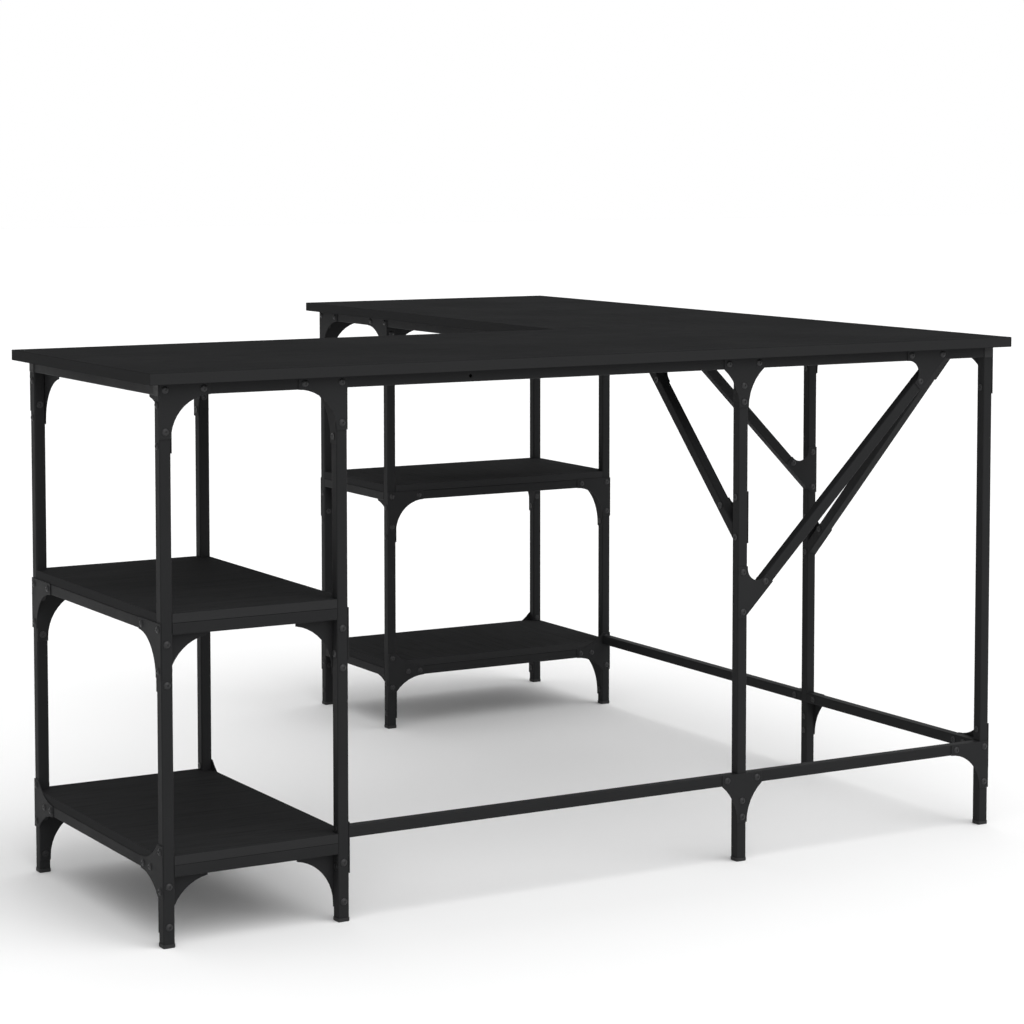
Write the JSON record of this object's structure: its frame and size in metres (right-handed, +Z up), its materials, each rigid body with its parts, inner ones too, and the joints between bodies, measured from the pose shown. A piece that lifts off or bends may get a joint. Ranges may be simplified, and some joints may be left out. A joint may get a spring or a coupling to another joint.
{
  "type": "corner desk",
  "caption": "Open corner desk: L-shaped black top on a bolted frame of square steel tube, with an open two-shelf unit under the end of each arm and diagonal braces at the corner.",
  "frame": {"origin": "on the floor, under the middle of the square that the desk's plan fills", "axes": "+Z up; arm A runs along X at the low Y side, arm B runs along Y at the high X side; the corner leg is at high X and low Y, and the sitter's side is the inner corner, towards -X and +Y"},
  "size_m": [1.4, 1.4, 0.748],
  "materials": {
    "black_laminate": "matt black laminate on particle board, fine grain",
    "black_steel_tube": "matt black powder coat, fine texture",
    "black_plates": "matt black powder coat on pressed plate",
    "black_fasteners": "satin black zinc",
    "black_plastic": "matt black polypropylene"
  },
  "bodies": {
    "root": {"a_bottom_end_rail": "black_steel_tube", "a_bottom_inner_rail": "black_steel_tube", "a_bottom_near_rail": "black_steel_tube", "a_bottom_outer_rail": "black_steel_tube", "a_bottom_shelf": "black_laminate", "a_corner_stretcher": "black_steel_tube", "a_cross_brace": "black_steel_tube", "a_end_cross_top_rail": "black_steel_tube", "a_end_inner_leg": "black_steel_tube", "a_end_outer_leg": "black_steel_tube", "a_inner_top_rail": "black_steel_tube", "a_long_brace": "black_steel_tube", "a_mid_cross_top_rail": "black_steel_tube", "a_mid_leg": "black_steel_tube", "a_middle_end_rail": "black_steel_tube", "a_middle_inner_rail": "black_steel_tube", "a_middle_near_rail": "black_steel_tube", "a_middle_outer_rail": "black_steel_tube", "a_middle_shelf": "black_laminate", "a_near_cross_top_rail": "black_steel_tube", "a_near_inner_leg": "black_steel_tube", "a_near_outer_leg": "black_steel_tube", "a_outer_top_rail": "black_steel_tube", "a_unit_stretcher": "black_steel_tube", "b_bottom_end_rail": "black_steel_tube", "b_bottom_inner_rail": "black_steel_tube", "b_bottom_near_rail": "black_steel_tube", "b_bottom_outer_rail": "black_steel_tube", "b_bottom_shelf": "black_laminate", "b_corner_stretcher": "black_steel_tube", "b_cross_brace": "black_steel_tube", "b_end_cross_top_rail": "black_steel_tube", "b_end_inner_leg": "black_steel_tube", "b_end_outer_leg": "black_steel_tube", "b_inner_top_rail": "black_steel_tube", "b_long_brace": "black_steel_tube", "b_mid_leg": "black_steel_tube", "b_middle_end_rail": "black_steel_tube", "b_middle_inner_rail": "black_steel_tube", "b_middle_near_rail": "black_steel_tube", "b_middle_outer_rail": "black_steel_tube", "b_middle_shelf": "black_laminate", "b_near_cross_top_rail": "black_steel_tube", "b_near_inner_leg": "black_steel_tube", "b_near_outer_leg": "black_steel_tube", "b_outer_top_rail": "black_steel_tube", "b_unit_stretcher": "black_steel_tube", "board_screws": "black_fasteners", "bolts": "black_fasteners", "brace_plates": "black_plates", "corner_gussets": "black_plates", "corner_leg": "black_steel_tube", "foot_caps": "black_plastic", "inner_corner_plate": "black_plates", "main_top_board": "black_laminate", "rail_brackets": "black_plates", "rail_plugs": "black_plastic", "return_top_board": "black_laminate", "rivet_nuts": "black_fasteners", "tee_plates": "black_plates"}
  },
  "joints": []
}
